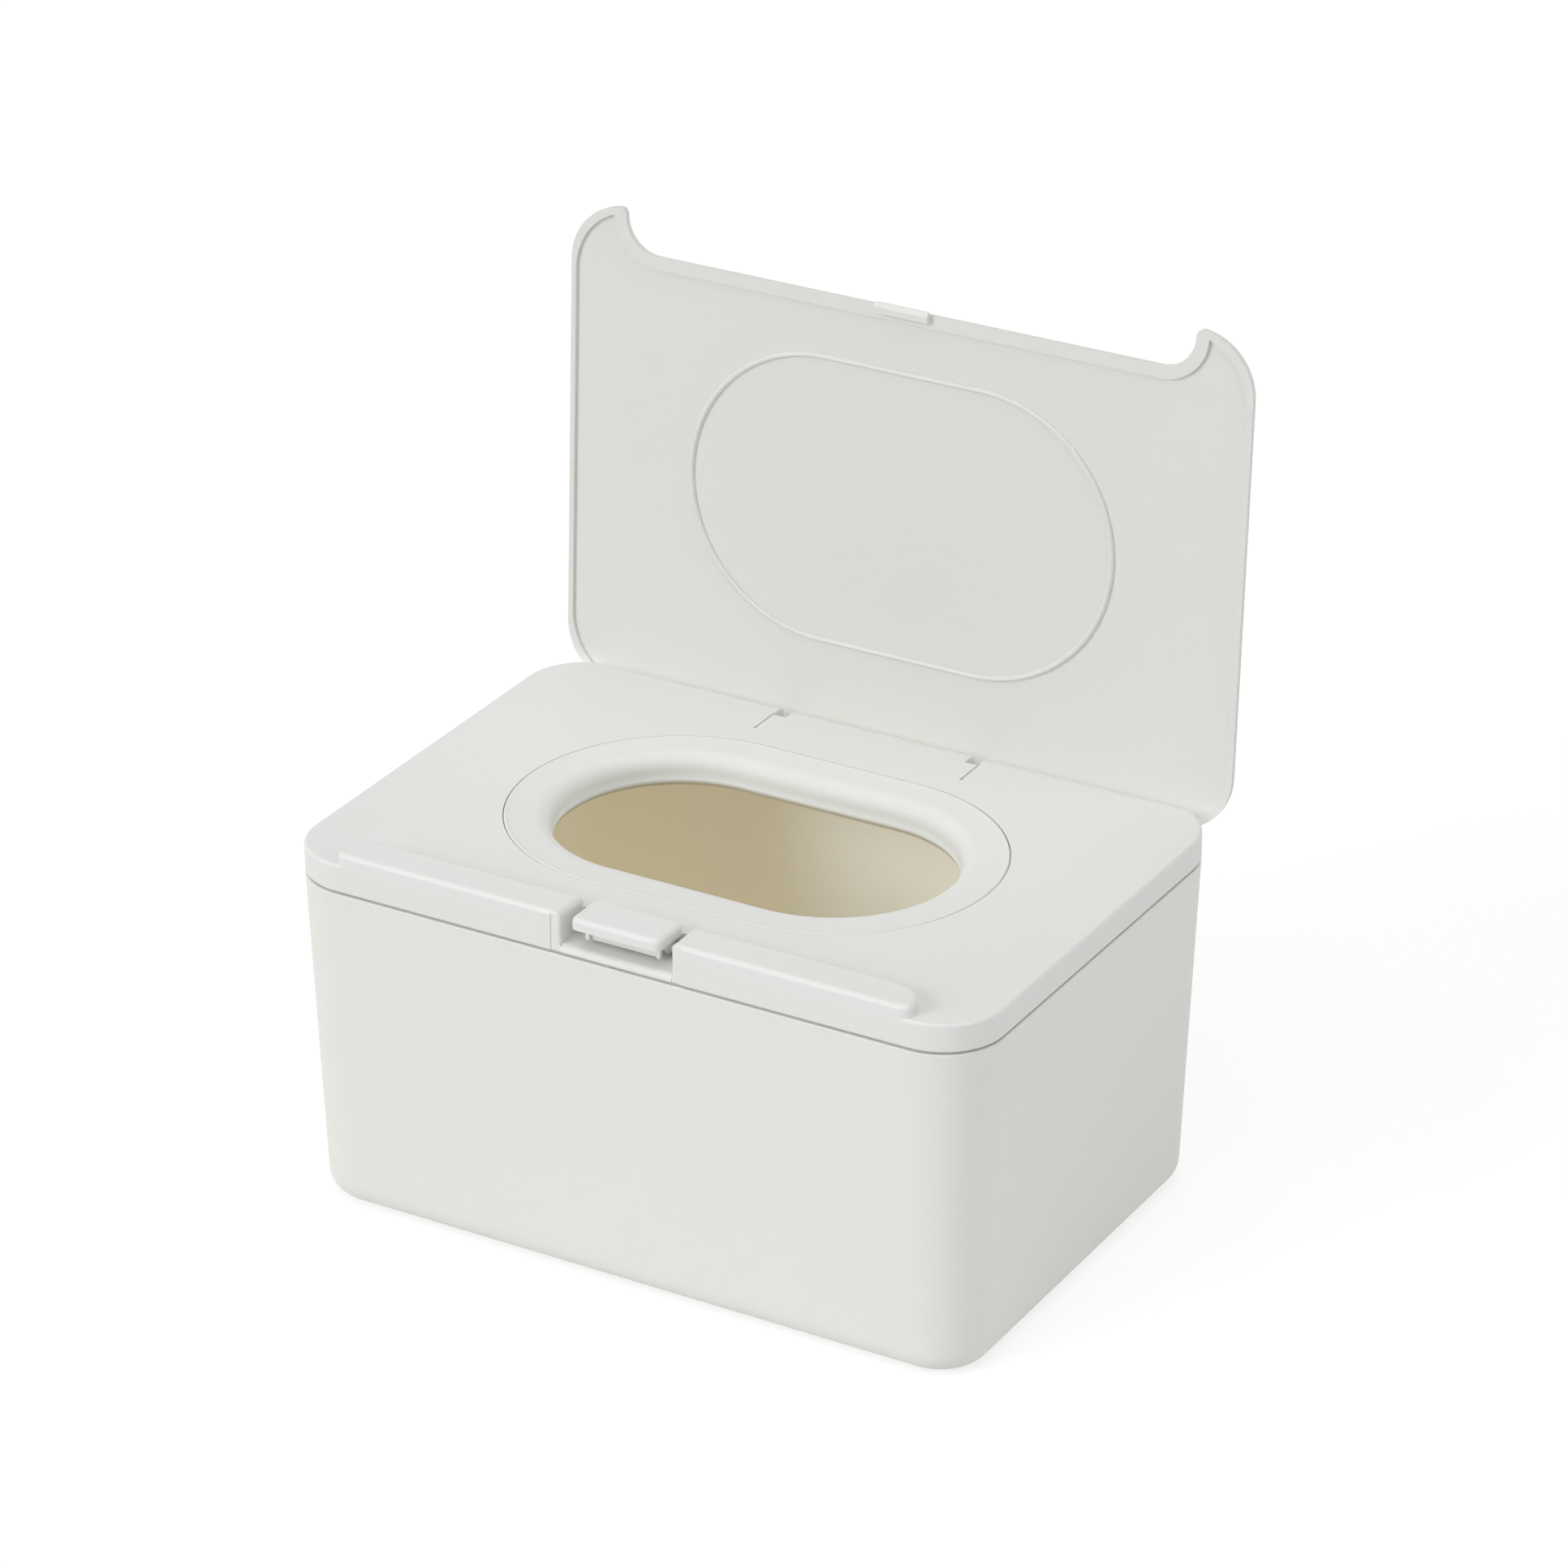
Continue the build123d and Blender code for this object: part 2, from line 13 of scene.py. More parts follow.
import bpy
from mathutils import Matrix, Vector


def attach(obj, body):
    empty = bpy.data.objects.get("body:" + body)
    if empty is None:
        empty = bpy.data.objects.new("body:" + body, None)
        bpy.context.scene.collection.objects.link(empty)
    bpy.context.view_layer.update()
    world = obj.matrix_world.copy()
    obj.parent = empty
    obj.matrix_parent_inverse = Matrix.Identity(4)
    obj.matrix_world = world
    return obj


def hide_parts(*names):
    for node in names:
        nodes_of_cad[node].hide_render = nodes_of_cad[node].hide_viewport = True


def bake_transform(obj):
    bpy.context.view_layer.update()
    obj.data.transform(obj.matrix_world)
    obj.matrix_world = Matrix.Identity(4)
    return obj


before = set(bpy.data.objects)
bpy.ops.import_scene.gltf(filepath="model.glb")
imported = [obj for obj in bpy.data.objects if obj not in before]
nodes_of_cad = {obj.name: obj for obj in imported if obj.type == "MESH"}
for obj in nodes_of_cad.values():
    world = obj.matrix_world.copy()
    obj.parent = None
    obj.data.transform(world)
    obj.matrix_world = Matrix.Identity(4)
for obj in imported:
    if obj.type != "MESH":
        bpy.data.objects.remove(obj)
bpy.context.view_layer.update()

# Lengths are in metres, so a size in millimetres is written with mm.
mm = 0.001
print("pieces in the frame:", sorted(nodes_of_cad))

# %% [markdown]
# ## The camera
# The picture looks down at the box from its front right corner. A camera can be placed by eye, or
# worked out from the box itself: its real edges are known, so their places in the picture give the
# place and the lens of the camera. The second way was used, and the numbers below are its result.
# The lens is long, as in most product pictures, so the box hardly narrows towards its back.

# %% Camera
camera_place = Vector((0.68769, -1.17835, 0.78363))
camera_target = Vector((0.00836, 0.0, 0.11216))
lens_mm = 144.58
sensor_mm = 36.0
near_limit = 50 * mm

camera_data = bpy.data.cameras.new("portrait_camera")
camera_data.lens = lens_mm
camera_data.sensor_width = sensor_mm
camera_data.clip_start = near_limit
camera = bpy.data.objects.new("portrait_camera", camera_data)
camera.location = camera_place
camera.rotation_mode = "QUATERNION"
camera.rotation_quaternion = (camera_target - camera_place).to_track_quat("-Z", "Y")
bpy.context.scene.collection.objects.link(camera)
bpy.context.scene.camera = camera
bpy.context.scene.view_settings.view_transform = "Standard"
print("camera stands", round((camera_target - camera_place).length, 3), "m from the box")

# %% [markdown]
# ## A pale sky
# The picture has no hard shadow: much of its light comes from all round, as from the white walls of
# a studio. Such walls could be built, but a plain sky does the same and renders faster. It depends
# on the kind of ray. The rays that light the box meet a dim sky, which leaves room for the lamps.
# The camera, reflections and clear matter meet a white one, as behind the box in the picture.

# %% Helpers for kinds of rays
def math_node(tree, operation, first, second=None, third=None):
    """A Math node whose inputs are sockets or numbers. Returns its output."""
    node = tree.nodes.new("ShaderNodeMath")
    node.operation = operation
    for place, value in enumerate((first, second, third)):
        if value is None:
            continue
        if isinstance(value, (int, float)):
            node.inputs[place].default_value = value
        else:
            tree.links.new(value, node.inputs[place])
    return node.outputs["Value"]


def seen_rays(tree):
    """1 for rays of the camera, of reflections and through clear matter, 0 for rays of light."""
    path = tree.nodes.new("ShaderNodeLightPath")
    direct, mirrored = path.outputs["Is Camera Ray"], path.outputs["Is Glossy Ray"]
    either = math_node(tree, "MAXIMUM", direct, mirrored)
    return math_node(tree, "MAXIMUM", either, path.outputs["Is Transmission Ray"])


print("helpers for kinds of rays ready")

# %% Sky
sky_strength = 0.25
sky_colour = (1.0, 1.0, 0.995)


def make_sky():
    """A white surround for the camera and for reflections, and a dimmer one that lights the box."""
    world = bpy.data.worlds.new("studio_sky")
    world.use_nodes = True
    tree = world.node_tree
    tree.nodes.clear()
    lit = tree.nodes.new("ShaderNodeBackground")
    lit.inputs["Color"].default_value = (*sky_colour, 1)
    lit.inputs["Strength"].default_value = sky_strength
    white = tree.nodes.new("ShaderNodeBackground")
    white.inputs["Color"].default_value = (1, 1, 1, 1)
    white.inputs["Strength"].default_value = 1.0
    choose = tree.nodes.new("ShaderNodeMixShader")
    out = tree.nodes.new("ShaderNodeOutputWorld")
    tree.links.new(seen_rays(tree), choose.inputs["Fac"])
    tree.links.new(lit.outputs["Background"], choose.inputs[1])
    tree.links.new(white.outputs["Background"], choose.inputs[2])
    tree.links.new(choose.outputs["Shader"], out.inputs["Surface"])
    bpy.context.scene.world = world


make_sky()
print("sky strength", sky_strength)

# %% [markdown]
# ## Soft lamps
# The top and the front of the box are almost equally bright, the right side is about a quarter
# darker, and a low light from the front left reaches through the mouth to the back wall. Area lamps
# could do that, but their light falls off with distance. Suns with a wide angle are easier to
# judge, because they are equally strong everywhere: a low one from the front left, one from the
# right, one from above and a faint one from behind.

# %% Lamps
# Each lamp has its strength, its spread in degrees and the direction in which it shines.
lamp_plan = {
    "key_lamp": (1.50, 35.0, Vector((0.52, 0.80, -0.40))),
    "side_lamp": (0.86, 60.0, Vector((-0.90, 0.10, -0.35))),
    "top_lamp": (0.95, 60.0, Vector((0.0, 0.05, -1.0))),
    "back_lamp": (0.14, 50.0, Vector((0.40, -0.50, -0.77))),
}


def make_lamp(name, strength, spread_degrees, direction):
    """A wide sun that shines along a direction."""
    data = bpy.data.lights.new(name, "SUN")
    data.energy = strength
    data.angle = math.radians(spread_degrees)
    lamp = bpy.data.objects.new(name, data)
    lamp.rotation_mode = "QUATERNION"
    lamp.rotation_quaternion = direction.to_track_quat("-Z", "Y")
    bpy.context.scene.collection.objects.link(lamp)


for lamp_name, (strength, spread_degrees, direction) in lamp_plan.items():
    make_lamp(lamp_name, strength, spread_degrees, direction)
    print(lamp_name, strength)

# %% [markdown]
# ## The floor
# The background of the picture is plain white. A white backdrop could be lit until it clips, but
# then the lamps would burn out the box as well. Here the floor is an ordinary pale surface, and
# only where it is seen, directly or in a reflection, it is a darker paint with a glow that lifts it
# to white. The box still leaves its soft shadow on it, because the shadow darkens the painted part.

# %% Blend of two colours
# A Mix node has its two colours at these inputs and the mixed one at this output.
first_at, second_at, mixed_at = 6, 7, 2


def blend(tree, mask, first, second):
    """A colour between two, by a mask. Each colour is a socket or three numbers."""
    mix = tree.nodes.new("ShaderNodeMix")
    mix.data_type = "RGBA"
    tree.links.new(mask, mix.inputs["Factor"])
    for socket, colour in ((mix.inputs[first_at], first), (mix.inputs[second_at], second)):
        if isinstance(colour, tuple):
            socket.default_value = (*colour, 1)
        else:
            tree.links.new(colour, socket)
    return mix.outputs[mixed_at]


print("helper for blends ready")

# %% Floor paint
floor_colour = (0.80, 0.80, 0.80)
floor_seen_colour = (0.40, 0.40, 0.40)
floor_glow = 0.70
floor_roughness = 0.9


def make_floor_paint():
    """Pale paint that looks white where it is seen."""
    paint = bpy.data.materials.new("floor_paint")
    paint.use_nodes = True
    tree = paint.node_tree
    shader = tree.nodes["Principled BSDF"]
    shader.inputs["Roughness"].default_value = floor_roughness
    shader.inputs["Specular IOR Level"].default_value = 0.0
    shader.inputs["Emission Color"].default_value = (1, 1, 1, 1)
    seen = seen_rays(tree)
    colour = blend(tree, seen, floor_colour, floor_seen_colour)
    glow = math_node(tree, "MULTIPLY", seen, floor_glow)
    tree.links.new(colour, shader.inputs["Base Color"])
    tree.links.new(glow, shader.inputs["Emission Strength"])
    return paint


floor_paint = make_floor_paint()
print("made", floor_paint.name)

# %% Floor
floor_half = 6.0


def make_floor():
    """A large pale sheet that the box stands on."""
    corners = [(-floor_half, -floor_half, 0), (floor_half, -floor_half, 0)]
    corners += [(floor_half, floor_half, 0), (-floor_half, floor_half, 0)]
    mesh = bpy.data.meshes.new("floor")
    mesh.from_pydata(corners, [], [(0, 1, 2, 3)])
    mesh.materials.append(floor_paint)
    floor = bpy.data.objects.new("floor", mesh)
    bpy.context.scene.collection.objects.link(floor)


make_floor()
print("floor reaches", floor_half, "m each way")

# %% [markdown]
# ## Node groups for moulded plastic
# Every plastic piece of the box shows the same three effects, each with its own values: a very
# fine grain left by the etched mould, a long shallow ripple where the plastic shrank as it cooled,
# and a faint drift of its tone. A picture texture could hold them, but it would need unwrapping.
# Noise in the piece's own coordinates needs none and stays with the piece when it moves. Grain and
# ripple share one small node group and the drift has another. Both are built once here and placed
# in every material with its own numbers.

# %% Group helpers
def new_group(name, inputs, outputs):
    """A shader node group with named inputs (name, kind, default) and outputs (name, kind)."""
    group = bpy.data.node_groups.new(name, "ShaderNodeTree")
    for label, kind, default in inputs:
        socket = group.interface.new_socket(name=label, in_out="INPUT", socket_type=kind)
        if default is not None:
            socket.default_value = default
    for label, kind in outputs:
        group.interface.new_socket(name=label, in_out="OUTPUT", socket_type=kind)
    start = group.nodes.new("NodeGroupInput")
    end = group.nodes.new("NodeGroupOutput")
    return group, start, end


def noise_node(tree, position, size, detail):
    """Noise whose lumps are about size metres across. Returns its factor output."""
    node = tree.nodes.new("ShaderNodeTexNoise")
    node.inputs["Detail"].default_value = detail
    tree.links.new(position, node.inputs["Vector"])
    tree.links.new(math_node(tree, "DIVIDE", 1.0, size), node.inputs["Scale"])
    return node.outputs["Fac"]


print("helpers for node groups ready")

# %% Moulded grain
grain_detail, ripple_detail = 2.0, 1.0


def make_grain_group():
    """Height of the etched grain and the long ripple, and a mask that follows the grain."""
    inputs = [
        ("Position", "NodeSocketVector", None),
        ("Grain Size", "NodeSocketFloat", 0.0008),
        ("Ripple Size", "NodeSocketFloat", 0.02),
        ("Ripple Share", "NodeSocketFloat", 0.5),
    ]
    outputs = [("Height", "NodeSocketFloat"), ("Grain", "NodeSocketFloat")]
    group, start, end = new_group("moulded_grain", inputs, outputs)
    position = start.outputs["Position"]
    grain = noise_node(group, position, start.outputs["Grain Size"], grain_detail)
    ripple = noise_node(group, position, start.outputs["Ripple Size"], ripple_detail)
    mixed = math_node(group, "MULTIPLY_ADD", ripple, start.outputs["Ripple Share"], grain)
    group.links.new(mixed, end.inputs["Height"])
    group.links.new(grain, end.inputs["Grain"])
    return group


grain_group = make_grain_group()
print("node group", grain_group.name)

# %% Tone drift
drift_detail = 3.0


def make_tone_group():
    """A colour that drifts slowly between two near tones over the piece."""
    inputs = [
        ("Position", "NodeSocketVector", None),
        ("Light Tone", "NodeSocketColor", (0.8, 0.8, 0.8, 1)),
        ("Deep Tone", "NodeSocketColor", (0.7, 0.7, 0.7, 1)),
        ("Drift Size", "NodeSocketFloat", 0.06),
    ]
    group, start, end = new_group("tone_drift", inputs, [("Tone", "NodeSocketColor")])
    drift = noise_node(group, start.outputs["Position"], start.outputs["Drift Size"], drift_detail)
    tone = blend(group, drift, start.outputs["Light Tone"], start.outputs["Deep Tone"])
    group.links.new(tone, end.inputs["Tone"])
    return group


tone_group = make_tone_group()
print("node group", tone_group.name)

# %% [markdown]
# ## Which side of the wall is it?
# The tub is one mesh, but its inside looks different from its outside, so the inside needs a mask.
# It could be painted by hand on the faces. The group below works it out instead: a face is inside
# when it looks towards the middle of the tub, or when it looks up at the level of the floor.

# %% Inside mask
# A face looks inward where its place times its normal, along X and Y, is below the first limit. It
# looks upward where the upward share of its normal is above the second.
inward_limit = -2 * mm
upward_limit = 0.5


def make_inside_group():
    """1 on faces that look into the tub and 0 on its outside and its rim."""
    inputs = [
        ("Position", "NodeSocketVector", None),
        ("Facing", "NodeSocketVector", None),
        ("Floor Level", "NodeSocketFloat", 0.005),
        ("Rim Level", "NodeSocketFloat", 0.1),
    ]
    group, start, end = new_group("inside_mask", inputs, [("Inside", "NodeSocketFloat")])
    place = group.nodes.new("ShaderNodeSeparateXYZ")
    facing = group.nodes.new("ShaderNodeSeparateXYZ")
    group.links.new(start.outputs["Position"], place.inputs["Vector"])
    group.links.new(start.outputs["Facing"], facing.inputs["Vector"])
    along_x = math_node(group, "MULTIPLY", place.outputs["X"], facing.outputs["X"])
    outward = math_node(group, "MULTIPLY_ADD", place.outputs["Y"], facing.outputs["Y"], along_x)
    inward = math_node(group, "LESS_THAN", outward, inward_limit)
    low = math_node(group, "LESS_THAN", place.outputs["Z"], start.outputs["Floor Level"])
    upward = math_node(group, "GREATER_THAN", facing.outputs["Z"], upward_limit)
    on_floor = math_node(group, "MULTIPLY", low, upward)
    below_rim = math_node(group, "LESS_THAN", place.outputs["Z"], start.outputs["Rim Level"])
    either = math_node(group, "MAXIMUM", inward, on_floor)
    group.links.new(math_node(group, "MULTIPLY", either, below_rim), end.inputs["Inside"])
    return group


inside_group = make_inside_group()
print("node group", inside_group.name)

# %% [markdown]
# ## A soft step between two levels
# Some tones change along one axis of a piece: the painted shade on the walls of the cover, the
# painted light at the foot of the lid, and the tone from the flange of the ring to its lip. A colour
# ramp could do that, but each material would need its own, and its stops count from 0 to 1. This
# group takes both levels in metres, and its mask climbs from 0 to 1 between them, evenly or along a
# power curve.

# %% Soft step
def make_step_group():
    """0 at one level, 1 at another, with a curve between them."""
    inputs = [
        ("Place", "NodeSocketFloat", 0.0),
        ("None Level", "NodeSocketFloat", 0.0),
        ("Full Level", "NodeSocketFloat", 1.0),
        ("Power", "NodeSocketFloat", 1.0),
    ]
    group, start, end = new_group("soft_step", inputs, [("Mask", "NodeSocketFloat")])
    past = math_node(group, "SUBTRACT", start.outputs["Place"], start.outputs["None Level"])
    reach = math_node(group, "SUBTRACT", start.outputs["Full Level"], start.outputs["None Level"])
    share = math_node(group, "DIVIDE", past, reach)
    held = math_node(group, "MAXIMUM", math_node(group, "MINIMUM", share, 1.0), 0.0)
    group.links.new(math_node(group, "POWER", held, start.outputs["Power"]), end.inputs["Mask"])
    return group


step_group = make_step_group()
print("node group", step_group.name)

# %% [markdown]
# ## The white plastic
# The shell pieces are one satin polypropylene, so one function makes all their materials. Each
# piece gets its own tone: the tub is a little greener than the cover in the picture, and the lid,
# a thin single wall that lets some light through, a little darker. The grain goes to a Bump node
# and to the roughness, and the colour drifts by a hair. What doesn't vary stays on the shader.

# %% Material helpers
def place_group(tree, group, **values):
    """A node group in a material, with numbers or colours set on its named inputs."""
    node = tree.nodes.new("ShaderNodeGroup")
    node.node_tree = group
    for label, value in values.items():
        node.inputs[label.replace("_", " ")].default_value = value
    return node


def new_material(name):
    """A material with its own coordinates. Returns the material, its shader and the coordinates."""
    material = bpy.data.materials.new(name)
    material.use_nodes = True
    tree = material.node_tree
    place = tree.nodes.new("ShaderNodeTexCoord")
    return material, tree.nodes["Principled BSDF"], place


def add_bump(tree, shader, height, depth):
    """Turns a height into a normal. The depth is in metres."""
    bump = tree.nodes.new("ShaderNodeBump")
    bump.inputs["Strength"].default_value = 1.0
    bump.inputs["Distance"].default_value = depth
    tree.links.new(height, bump.inputs["Height"])
    tree.links.new(bump.outputs["Normal"], shader.inputs["Normal"])


print("helpers for materials ready")

# %% Grain and tone in a material
def drifting_tone(tree, place, tones, size):
    """A colour that drifts between a light and a deep tone. Returns its socket."""
    light, deep = [(*tone, 1) for tone in tones]
    drift = place_group(tree, tone_group, Light_Tone=light, Deep_Tone=deep, Drift_Size=size)
    tree.links.new(place.outputs["Object"], drift.inputs["Position"])
    return drift.outputs["Tone"]


def fine_grain(tree, place, shader, roughness, **values):
    """Grain that the roughness follows, from its low to its high value. Returns the height."""
    grain = place_group(tree, grain_group, **values)
    tree.links.new(place.outputs["Object"], grain.inputs["Position"])
    spread = tree.nodes.new("ShaderNodeMapRange")
    spread.inputs["To Min"].default_value, spread.inputs["To Max"].default_value = roughness
    tree.links.new(grain.outputs["Grain"], spread.inputs["Value"])
    tree.links.new(spread.outputs["Result"], shader.inputs["Roughness"])
    return grain.outputs["Height"]


print("helpers for grain and tone ready")

# %% Satin plastic
plastic_roughness = (0.40, 0.56)
plastic_grain = {"Grain_Size": 0.7 * mm, "Ripple_Size": 22 * mm, "Ripple_Share": 4.0}
plastic_grain_depth = 0.012 * mm
plastic_drift = 50 * mm
plastic_ior = 1.47


def satin_plastic(name, tones):
    """Satin moulded plastic with grain, ripple and a drifting tone."""
    material, shader, place = new_material(name)
    tree = material.node_tree
    height = fine_grain(tree, place, shader, plastic_roughness, **plastic_grain)
    tone = drifting_tone(tree, place, tones, plastic_drift)
    tree.links.new(tone, shader.inputs["Base Color"])
    add_bump(tree, shader, height, plastic_grain_depth)
    shader.inputs["IOR"].default_value = plastic_ior
    return material, shader, place, tone


print("satin plastic has roughness", plastic_roughness)

# %% [markdown]
# ## The tub
# The tub is the lower moulding. Its inside looks warm and creamy, because light bounces from wall to
# wall before it comes out again, and some comes through the walls. A translucent plastic with real
# wall thickness could give that, slowly and with much noise. So the mask picks the inner faces, and
# they get painted light: a creamier tone and a faint glow for the bounced light. On the right, where
# the walls catch more light in the picture, the glow is whiter, a painted patch of light.

# %% Helpers for masks and glow
def step_mask(tree, place, axis, none_level, full_level, power=1.0):
    """The soft step along one axis of the piece's own coordinates."""
    split = tree.nodes.new("ShaderNodeSeparateXYZ")
    tree.links.new(place.outputs["Object"], split.inputs["Vector"])
    step = place_group(tree, step_group, None_Level=none_level, Full_Level=full_level, Power=power)
    tree.links.new(split.outputs[axis], step.inputs["Place"])
    return step.outputs["Mask"]


def glow_with(tree, shader, colour):
    """A faint glow, for light that has bounced or passed through the plastic before it is seen."""
    tree.links.new(colour, shader.inputs["Emission Color"])
    shader.inputs["Emission Strength"].default_value = 1.0


print("helpers for masks and glow ready")

# %% Tub
tub_tones = (0.80, 0.81, 0.77), (0.79, 0.80, 0.75)
# Painted light: a creamy bounce tone and glow inside, whiter on the right as a patch of light.
painted_bounce_tone = (0.85, 0.82, 0.74)
inside_floor_level, inside_rim_level = 12 * mm, 86.5 * mm
no_glow = (0.0, 0.0, 0.0)
painted_bounce_glow = (0.118, 0.099, 0.056)
painted_light_patch_glow = (0.132, 0.130, 0.116)
light_patch_start, light_patch_end = -28 * mm, -10 * mm


def paint_bounce_light_inside(material, shader, place, tone):
    """Painted light inside the tub: a creamy bounce tone, and a glow for light through its walls that
    is whiter on the right.
    """
    tree = material.node_tree
    levels = {"Floor_Level": inside_floor_level, "Rim_Level": inside_rim_level}
    mask = place_group(tree, inside_group, **levels)
    tree.links.new(place.outputs["Object"], mask.inputs["Position"])
    tree.links.new(place.outputs["Normal"], mask.inputs["Facing"])
    inside = mask.outputs["Inside"]
    patch = step_mask(tree, place, "X", light_patch_start, light_patch_end)
    glow = blend(tree, patch, painted_bounce_glow, painted_light_patch_glow)
    tree.links.new(blend(tree, inside, tone, painted_bounce_tone), shader.inputs["Base Color"])
    glow_with(tree, shader, blend(tree, inside, no_glow, glow))


tub_plastic, *tub_parts = satin_plastic("tub_plastic", tub_tones)
paint_bounce_light_inside(tub_plastic, *tub_parts)
print("made", tub_plastic.name)

# %% [markdown]
# ## The cover and the press tab
# The cover carries the mouth, the lid and the tab. Its side walls are a little darker than its top
# in the picture, because less light falls on them, and that is painted shade. A thin dark seam runs
# between it and the tub. It is a real groove in the solid, and a greyer tone inside it is painted
# shade that deepens its line. Two soft steps along the height set both painted shades, with no need
# to split the mesh.

# %% Cover and tab
cover_tones = (0.803, 0.803, 0.79), (0.79, 0.79, 0.772)
tab_tones = (0.807, 0.807, 0.794), (0.795, 0.795, 0.78)
# Painted shade: a deeper tone on the side walls and a greyer one inside the seam groove.
skirt_painted_shade = (0.789, 0.792, 0.770)
skirt_start, skirt_end = 96.2 * mm, 94.8 * mm
groove_painted_shade = (0.58, 0.58, 0.56)
groove_top = 89.9 * mm
groove_fade = 0.06 * mm


def paint_skirt_shade(material, shader, place, tone):
    """Painted shade: a slightly deeper tone on the cover's side walls, and a greyer one in the groove
    below.
    """
    tree = material.node_tree
    skirt = step_mask(tree, place, "Z", skirt_start, skirt_end)
    groove = step_mask(tree, place, "Z", groove_top + groove_fade, groove_top)
    walls = blend(tree, skirt, tone, skirt_painted_shade)
    tree.links.new(blend(tree, groove, walls, groove_painted_shade), shader.inputs["Base Color"])


cover_plastic, *cover_parts = satin_plastic("cover_plastic", cover_tones)
paint_skirt_shade(cover_plastic, *cover_parts)
tab_plastic = satin_plastic("tab_plastic", tab_tones)[0]
print("made", cover_plastic.name, "and", tab_plastic.name)

# %% [markdown]
# ## The lid
# The open lid is a thin single wall, a little darker than the cover. Its inner face grows lighter
# towards its foot in the picture, because the cover throws light up at it. The bounces that the
# renderer works out give part of that. A small lamp could add the rest, but it would light the cover
# too and stay behind when the lid moves. So the foot has a faint glow, which fades with height and
# leaves out the two hinge arms.

# %% Lid
lid_tones = (0.752, 0.760, 0.725), (0.738, 0.746, 0.712)
foot_glow = (0.21, 0.21, 0.20)
foot_level, foot_fade_level, foot_power = 93.7 * mm, 113.7 * mm, 5.0
arm_end, arm_fade = 67.2 * mm, 0.3 * mm
inner_limit = -0.5


def light_the_foot(material, shader, place):
    """Light that the cover throws on the foot of the lid's inner face, and that comes through it."""
    tree = material.node_tree
    facing = tree.nodes.new("ShaderNodeSeparateXYZ")
    tree.links.new(place.outputs["Normal"], facing.inputs["Vector"])
    inner = math_node(tree, "LESS_THAN", facing.outputs["Y"], inner_limit)
    foot = step_mask(tree, place, "Z", foot_fade_level, foot_level, foot_power)
    past_arms = step_mask(tree, place, "Y", arm_end, arm_end + arm_fade)
    mask = math_node(tree, "MULTIPLY", math_node(tree, "MULTIPLY", inner, foot), past_arms)
    glow_with(tree, shader, blend(tree, mask, no_glow, foot_glow))


lid_plastic, lid_shader, lid_place, _ = satin_plastic("lid_plastic", lid_tones)
light_the_foot(lid_plastic, lid_shader, lid_place)
print("made", lid_plastic.name)

# %% [markdown]
# ## The steel of the spring
# The return spring is bright drawn wire, hardly seen in the dark under the press tab. One even metal
# would nearly do at this size. Real wire is less even, so the two groups for plastic are placed here
# as well, with much smaller sizes: one varies the roughness and the other the tone.

# %% Spring steel
steel_tones = (0.62, 0.62, 0.61), (0.45, 0.45, 0.45)
steel_drift = 1.0 * mm
steel_roughness = (0.2, 0.4)
steel_grain = {"Grain_Size": 0.2 * mm, "Ripple_Size": 2.0 * mm, "Ripple_Share": 0.5}


def make_steel():
    """Bright drawn wire."""
    material, shader, place = new_material("drawn_steel")
    tree = material.node_tree
    fine_grain(tree, place, shader, steel_roughness, **steel_grain)
    tone = drifting_tone(tree, place, steel_tones, steel_drift)
    tree.links.new(tone, shader.inputs["Base Color"])
    shader.inputs["Metallic"].default_value = 1.0
    return material


spring_steel = make_steel()
print("made", spring_steel.name)

# %% [markdown]
# ## Each moulding gets its plastic
# The pieces of the frame come with plain materials. Their faces could be given new ones by hand, but
# each moulding has one finish all over, so one material fills all its slots. The mouth ring and the
# spring aren't in the list, because both are modelled again below.

# %% Finish of the mouldings
finish_of_node = {
    "tub": tub_plastic,
    "top_cover": cover_plastic,
    "lid": lid_plastic,
    "press_tab": tab_plastic,
}
for node_name, finish in finish_of_node.items():
    for slot in nodes_of_cad[node_name].material_slots:
        slot.material = finish
print("finished:", sorted(finish_of_node))

# %% [markdown]
# ## The soft mouth ring
# The ring round the mouth is a separate soft moulding. Its flange lies flush in the cover, then
# its surface rolls down into the mouth. It could be a torus with edits, but the mouth is not
# round: it has two half circles and a straight middle. So one section is drawn as arcs and carried
# round that oval. Its long roll is a quarter of a superellipse, softer than a plain arc. Two fine
# beads finish it: one on the outer edge, which draws the seam, and one on the lip. A short apron
# hangs below the lip, and a dark painted shade on it draws a thin dark line at the back of the
# mouth.

# %% Ring sizes
mouth_middle_y = 0.5 * mm
mouth_half_straight = 21.75 * mm
mouth_radius = 31.06 * mm
cover_level = 96.9 * mm
ring_edge_radius = 42.65 * mm
flange_thickness = 1.2 * mm
roll_radius = 4.3 * mm
lip_depth = 7.4 * mm
ring_wall = 1.5 * mm
neck_radius = 37.9 * mm
edge_round = 0.45 * mm
edge_foot = 0.3 * mm
edge_rise = 0.18 * mm
edge_rise_reach = 1.1 * mm
lip_bead_radius = 0.95 * mm
lip_bead_reach = 0.22 * mm
apron_depth = 0.65 * mm
apron_wall = 0.8 * mm
apron_round = 0.15 * mm
# The apron's two walls leave the bead of the lip at these angles, in degrees.
apron_start, apron_end = 245, 295
mouth_length, mouth_width = 2 * (mouth_half_straight + mouth_radius), 2 * mouth_radius
print("mouth is", round(mouth_length / mm, 2), "by", round(mouth_width / mm, 2), "mm")

# %% Arcs and the soft roll
roll_power = 2.15


